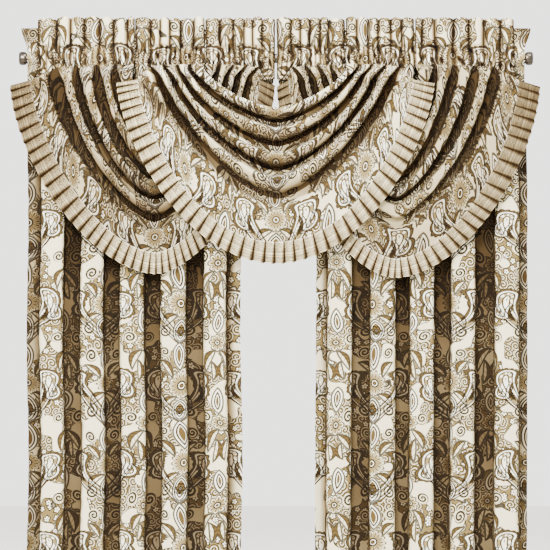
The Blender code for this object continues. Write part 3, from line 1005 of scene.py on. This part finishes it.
def noise(tree, u, v, scale, detail):
    node = tree.nodes.new("ShaderNodeTexNoise")
    node.inputs["Scale"].default_value = scale
    node.inputs["Detail"].default_value = detail
    tree.links.new(joined(tree, u, v), node.inputs["Vector"])
    return Wire(tree, node.outputs["Fac"])


def net_cell(tree, u, v, scale):
    """Place about the nearest point of an uneven net, and a chance value."""
    cells = tree.nodes.new("ShaderNodeTexVoronoi")
    cells.voronoi_dimensions = "2D"
    cells.inputs["Scale"].default_value = scale
    cells.inputs["Randomness"].default_value = NET_UNEVEN
    tree.links.new(joined(tree, u, v), cells.inputs["Vector"])
    split = tree.nodes.new("ShaderNodeSeparateXYZ")
    tree.links.new(cells.outputs["Position"], split.inputs[0])
    shade = tree.nodes.new("ShaderNodeSeparateColor")
    tree.links.new(cells.outputs["Color"], shade.inputs[0])
    pu, pv = u - Wire(tree, split.outputs[0]), v - Wire(tree, split.outputs[1])
    return pu, pv, Wire(tree, shade.outputs[0])


def turned(u, v, x, y, degrees):
    """Coordinates about the point (x, y), turned by an angle."""
    a = math.radians(degrees)
    du, dv = u - x, v - y
    return du * math.cos(a) + dv * math.sin(a), dv * math.cos(a) - du * math.sin(a)


class Layers:
    """The drawn parts of the body cloth's pattern, gathered motif by motif.

    Each motif works out its distance from an outline, in metres, negative
    inside, and draws its lines by their distance and half width.
    """

    def __init__(self):
        self.covers = []
        self.hearts = []
        self.fills = []
        self.darks = []
        self.lights = []

    def flower(self, place, radius, petals):
        """Ray petals round a ringed heart."""
        pu, pv = place
        r, a = pu.length(pv), pu.angle(pv)
        tip = (a * (petals / 2.0)).cos().abs()
        edge = r - (tip * (radius * 0.34) + radius * 0.66)
        self.covers.append(edge.under(0.005))
        self.hearts.append(edge.under(-0.0065))
        self.darks.append(edge.ring(0.001, 0.0030))
        between = (1.0 - tip.step(0.18, 0.34)) * edge.under(-0.001) * (1.0 - r.under(radius * 0.30))
        self.darks.append(between)
        self.fills.append(tip.step(0.80, 0.97) * edge.under(-radius * 0.22) * (1.0 - r.under(radius * 0.36)))
        self.darks.append(r.ring(radius * 0.30, 0.0026))
        self.fills.append(r.under(radius * 0.30))
        self.darks.append(r.ring(radius * 0.12, 0.0012))
        self.lights.append(r.ring(radius * 0.20, 0.0014))

    def paisley(self, place, size):
        """A bent drop with a scalloped border, bands and dots."""
        pu, pv = place
        bent = pu + pv * pv * (2.6 / size) - size * 0.14
        half = (pv / size * -0.40 + 0.29) * size
        edge = bent.length(pv * 0.60) - half
        a = bent.angle(pv * 0.60)
        scallop = edge - (a * 11.0).cos().abs() * 0.0065
        self.covers.append(scallop.under(0.006))
        self.hearts.append(edge.under(-0.0125))
        self.darks.append(scallop.ring(0.0035, 0.0031))
        self.fills.append(scallop.under(0.0035) * (1.0 - edge.under(-0.001)))
        self.darks.append(edge.ring(-0.002, 0.0026))
        self.lights.append(edge.ring(-0.007, 0.0036))
        self.darks.append(edge.ring(-0.0125, 0.0026))
        self.fills.append(edge.under(-0.0125) * 0.5)
        beads = (a * 8.0).cos().step(0.0, 0.5)
        self.lights.append(edge.ring(-0.0195, 0.0042) * beads)
        self.darks.append(edge.ring(-0.0265, 0.0018))
        self.lights.append(edge.ring(-0.0320, 0.0024))
        self.darks.append(edge.ring(-0.0390, 0.0022))

    def eye(self, place, half_wide, half_tall, band):
        """A pointed oval: a light band round a dark line and a tan heart."""
        pu, pv = place
        radius = (half_tall ** 2 + half_wide ** 2) / (2.0 * half_wide)
        edge = (pu.abs() + (radius - half_wide)).length(pv) - radius
        self.covers.append(edge.under(0.004))
        self.darks.append(edge.ring(0.0005, 0.0030))
        self.lights.append(edge.ring(-band * 0.5 - 0.001, band * 0.5))
        self.darks.append(edge.ring(-band - 0.003, 0.0021))
        self.fills.append(edge.under(-band - 0.003))
        self.lights.append(edge.ring(-band - 0.008, 0.0012))

    def leaf(self, place, half_long, half_wide):
        """A pointed leaf, one half shaded, with slanting veins."""
        pu, pv = place
        bent = pv + pu * pu * (0.35 / half_long)
        radius = (half_long ** 2 + half_wide ** 2) / (2.0 * half_wide)
        edge = (bent.abs() + (radius - half_wide)).length(pu) - radius
        inside = edge.under(-0.001)
        self.covers.append(edge.under(0.003))
        self.darks.append(edge.ring(0.0, 0.0028))
        self.fills.append(inside * bent.step(-0.001, 0.001))
        veins = (bent.abs() * 330.0 - pu * 400.0).sin().step(0.45, 0.85)
        self.darks.append(veins * edge.under(-0.003) * 0.55)
        self.darks.append(bent.ring(0.0, 0.0016) * inside)

    def scroll(self, place, size, pitch):
        """A curl: a light band wound inwards between two dark lines."""
        pu, pv = place
        r, a = pu.length(pv), pu.angle(pv)
        wound = (a * (0.5 / math.pi) + r / pitch).op("WRAP", 0.5, -0.5)
        inside = r.under(size)
        self.covers.append(r.under(size + 0.002))
        self.darks.append((wound.abs() - 0.34).abs().under(2.0 * MM / pitch, 0.05) * inside)
        self.fills.append(wound.abs().step(0.34, 0.40) * inside)


def draw_motifs(drawn, cu, cv, hu, hv):
    """One repeat, mirrored left to right and dropped by half beside it."""
    drawn.flower(turned(cu, cv, 0.0, 0.000, 0), 0.044, 14)
    drawn.eye(turned(cu, cv, 0.0, 0.098, 0), 0.024, 0.050, 0.006)
    drawn.eye(turned(cu, cv, 0.0, -0.096, 0), 0.030, 0.046, 0.004)
    drawn.flower(turned(cu, cv, 0.0, -0.096, 0), 0.018, 6)
    drawn.paisley(turned(cu, cv, 0.100, 0.010, 24), 0.125)
    drawn.leaf(turned(cu, cv, 0.046, 0.058, 48), 0.034, 0.013)
    drawn.leaf(turned(cu, cv, 0.050, -0.052, -40), 0.036, 0.014)
    drawn.scroll(turned(cu, cv, 0.062, -0.098, 200), 0.023, 0.013)
    drawn.scroll(turned(cu, cv, 0.058, 0.108, 20), 0.020, 0.011)
    drawn.flower(turned(hu, hv, 0.0, 0.000, 0), 0.032, 8)
    drawn.eye(turned(hu, hv, 0.0, 0.082, 0), 0.021, 0.043, 0.007)
    drawn.paisley(turned(hu, hv, 0.082, 0.118, 196), 0.095)
    drawn.leaf(turned(hu, hv, 0.040, -0.056, -60), 0.040, 0.015)
    drawn.leaf(turned(hu, hv, 0.010, -0.098, 90), 0.034, 0.014)
    drawn.scroll(turned(hu, hv, 0.050, 0.022, 90), 0.021, 0.012)


def most(values):
    """The highest of several numbers."""
    found = values[0]
    for value in values[1:]:
        found = found.high(value)
    return found


def draw_filler(drawn, tree, u, v, ground):
    """Small curls and florets, one in each cell of an uneven net."""
    pu, pv, chance = net_cell(tree, u, v, FILLER_SCALE)
    r, a = pu.length(pv), pu.angle(pv)
    wound = (a * (0.5 / math.pi) + r / FILLER_PITCH + chance).op("WRAP", 0.5, -0.5).abs()
    curl = chance.step(0.40, 0.42)
    tip = (a * 2.5 + chance * 6.0).cos().abs()
    edge = r - (tip * 0.006 + 0.0065)
    floret = (1.0 - curl) * ground
    drawn.darks.append(wound.step(0.28, 0.40) * curl * ground * 0.9)
    drawn.lights.append((1.0 - wound.step(0.06, 0.17)) * curl * ground * 0.8)
    drawn.darks.append(edge.ring(0.0, 0.0025) * floret)
    drawn.lights.append(edge.under(-0.0015) * (1.0 - r.under(0.003)) * floret)


def body_cloth():
    """Ivory jacquard with flowers, paisleys and leaves in tan and brown."""
    made, tree, shader = new_material("body_cloth_weave")
    u, v = cloth_coordinates(tree)
    su = u + (noise(tree, u, v, SWAY_SCALE, 0.0) - 0.5) * SWAY_REACH
    sv = v + (noise(tree, v, u, SWAY_SCALE, 0.0) - 0.5) * SWAY_REACH
    cu, cv = su.wrap(REPEAT_WIDE).abs(), sv.wrap(REPEAT_TALL)
    hu, hv = (su + REPEAT_WIDE / 2).wrap(REPEAT_WIDE).abs(), (sv + REPEAT_TALL / 2).wrap(REPEAT_TALL)
    drawn = Layers()
    draw_motifs(drawn, cu, cv, hu, hv)
    covered = most(drawn.covers)
    open_ground = 1.0 - covered
    shore = noise(tree, su, sv, SHORE_SCALE, 1.0)
    plain = shore.step(SHORE, SHORE + SHORE_WIDE) * open_ground
    draw_filler(drawn, tree, su, sv, open_ground * (1.0 - plain))
    drawn.darks.append(shore.ring(SHORE + 0.007, 0.008, 0.004) * open_ground)
    cream = plain.high(covered)
    colour = colour_mix(tree, cream, TAN, IVORY)
    colour = colour_mix(tree, most(drawn.hearts), colour, HEART)
    colour = colour_mix(tree, most(drawn.fills), colour, DEEP_TAN)
    colour = colour_mix(tree, most(drawn.lights), colour, BRIGHT)
    colour = colour_mix(tree, most(drawn.darks) * DARK_SHARE, colour, BROWN)
    fleck = noise(tree, u, v, FLECK_SCALE, 1.0).step(0.30, 0.62)
    colour = colour_mix(tree, fleck * FLECK_SHARE, colour, FLECK, "MULTIPLY")
    finish_cloth(tree, shader, u, v, colour)
    return made


def finish_cloth(tree, shader, u, v, colour):
    """Paints shade into the colour in the folds, and gives the cloth its threads."""
    tree.links.new(shaded(tree, colour), shader.inputs["Base Color"])
    shader.inputs["Roughness"].default_value = CLOTH_ROUGH
    shader.inputs["Specular IOR Level"].default_value = CLOTH_GLOSS
    threads = (u * THREADS).sin() * (v * THREADS).sin()
    bump = tree.nodes.new("ShaderNodeBump")
    bump.inputs["Strength"].default_value = THREAD_RELIEF
    bump.inputs["Distance"].default_value = THREAD_HEIGHT
    tree.links.new(threads.socket, bump.inputs["Height"])
    tree.links.new(bump.outputs[0], shader.inputs["Normal"])


def trim_cloth():
    """Striped cloth: a mottled band by the seam, then plain stripes."""
    made, tree, shader = new_material("trim_cloth_weave")
    u, v = cloth_coordinates(tree)
    mottle = noise(tree, u, v, MOTTLE_SCALE, 3.0).step(0.40, 0.62)
    band = v.under(BAND_EDGE, 0.001).high(v.ring(*OUTER_BAND, 0.001))
    lines = most([v.ring(place, wide) for place, wide in STRIPES])
    streaks = noise(tree, u * 6.0, v * 110.0, 3.0, 1.0).step(0.35, 0.7)
    colour = colour_mix(tree, mottle * band * MOTTLE_SHARE, TRIM_LIGHT, TRIM_MOTTLE)
    colour = colour_mix(tree, streaks * STREAK_SHARE, colour, TRIM_MOTTLE)
    colour = colour_mix(tree, lines * STRIPE_SHARE, colour, TRIM_LINE)
    colour = colour_mix(tree, v.under(SEAM_EDGE) * SEAM_SHARE, colour, BRIGHT)
    finish_cloth(tree, shader, u, v, colour)
    return made


def rod_metal():
    made, tree, shader = new_material("rod_metal_polished")
    shader.inputs["Metallic"].default_value = 1.0
    place = tree.nodes.new("ShaderNodeTexCoord")
    grain = tree.nodes.new("ShaderNodeTexNoise")
    grain.inputs["Scale"].default_value = METAL_GRAIN
    tree.links.new(place.outputs["Object"], grain.inputs["Vector"])
    speck = Wire(tree, grain.outputs["Fac"])
    colour = colour_mix(tree, speck, METAL_DARK, METAL_LIGHT)
    tree.links.new(colour, shader.inputs["Base Color"])
    tree.links.new((speck * METAL_ROUGHER + METAL_ROUGH).socket, shader.inputs["Roughness"])
    return made


# Camera, floor and light

# The photo's scale and width, and where the rod's middle lies in it.
PIXEL = 3.585 * MM
IMAGE = 550
AXIS_ROW = 57.5
AXIS_COLUMN = 276.0
SENSOR = 36.0
CAMERA_AWAY = 14.0
CAMERA_REACH = 60.0
FRONT = -60.0 * MM

FLOOR_SIZE = 8.0
FLOOR_LEVEL = PANEL_BOTTOM - 60.0 * MM
FLOOR_COLOUR = linear(225, 223, 218)
FLOOR_ROUGH = 0.9

ROOM_COLOUR = (0.93, 0.93, 0.91, 1.0)
ROOM_LIGHT = 2.9
# Each lamp's place, the point that it faces, its size and its power.
LAMPS = {
    "key": ((-1.2, -4.2, 1.6), (0.0, 0.0, -0.7), (1.6, 1.6), 600.0),
    "top": ((0.6, -1.6, 3.2), (0.0, 0.0, -0.6), (2.2, 1.2), 270.0),
    "behind": ((0.0, 3.6, 1.5), (0.0, 0.0, -0.9), (2.4, 2.0), 110.0),
}


def add_camera():
    data = bpy.data.cameras.new("view")
    data.sensor_width = SENSOR
    data.lens = SENSOR * CAMERA_AWAY / (IMAGE * PIXEL)
    data.clip_end = CAMERA_REACH
    camera = bpy.data.objects.new("view", data)
    x = (IMAGE / 2 - AXIS_COLUMN) * PIXEL
    z = (AXIS_ROW - IMAGE / 2) * PIXEL
    camera.location = (x, FRONT - CAMERA_AWAY, z)
    camera.rotation_euler = (math.pi / 2, 0.0, 0.0)
    bpy.context.scene.collection.objects.link(camera)
    bpy.context.scene.camera = camera


def add_floor():
    mesh = bpy.data.meshes.new("floor")
    size = FLOOR_SIZE
    outline = [(-size, -size), (size, -size), (size, size), (-size, size)]
    mesh.from_pydata([(x, y, FLOOR_LEVEL) for x, y in outline], [], [(0, 1, 2, 3)])
    floor = bpy.data.objects.new("floor", mesh)
    bpy.context.scene.collection.objects.link(floor)
    made, _, shader = new_material("floor_plain")
    shader.inputs["Base Color"].default_value = FLOOR_COLOUR
    shader.inputs["Roughness"].default_value = FLOOR_ROUGH
    floor.data.materials.append(made)


def add_lamp(name, place, aim, size, power):
    data = bpy.data.lights.new(name, "AREA")
    data.shape = "RECTANGLE"
    data.size, data.size_y = size
    data.energy = power
    lamp = bpy.data.objects.new(name, data)
    lamp.location = place
    direction = np.array(aim) - np.array(place)
    yaw = math.atan2(direction[0], direction[1])
    pitch = math.atan2(direction[2], math.hypot(direction[0], direction[1]))
    lamp.rotation_euler = (math.pi / 2 + pitch, 0.0, -yaw)
    bpy.context.scene.collection.objects.link(lamp)


def add_light():
    world = bpy.data.worlds.new("room")
    world.use_nodes = True
    ground = world.node_tree.nodes["Background"]
    ground.inputs["Color"].default_value = ROOM_COLOUR
    ground.inputs["Strength"].default_value = ROOM_LIGHT
    bpy.context.scene.world = world
    for name, (place, aim, size, power) in LAMPS.items():
        add_lamp(name, place, aim, size, power)


def main():
    add_camera()
    add_floor()
    add_light()
    cloth, striped, metal = body_cloth(), trim_cloth(), rod_metal()
    for node in ("rod", "cap_left", "cap_right"):
        bpy.data.objects[node].data.materials.clear()
        bpy.data.objects[node].data.materials.append(metal)
    for number, (name, panel) in enumerate(PANELS.items()):
        made = make_panel(name, panel, 3 + number, cloth)
    for number, (name, swag) in enumerate(SWAGS.items()):
        made = make_swag(name, swag, 20 * (number + 1), cloth)
        edge = name.replace("swag", "trim")
        made = make_trim(edge, swag, 20 * (number + 1) + 5, striped)


main()
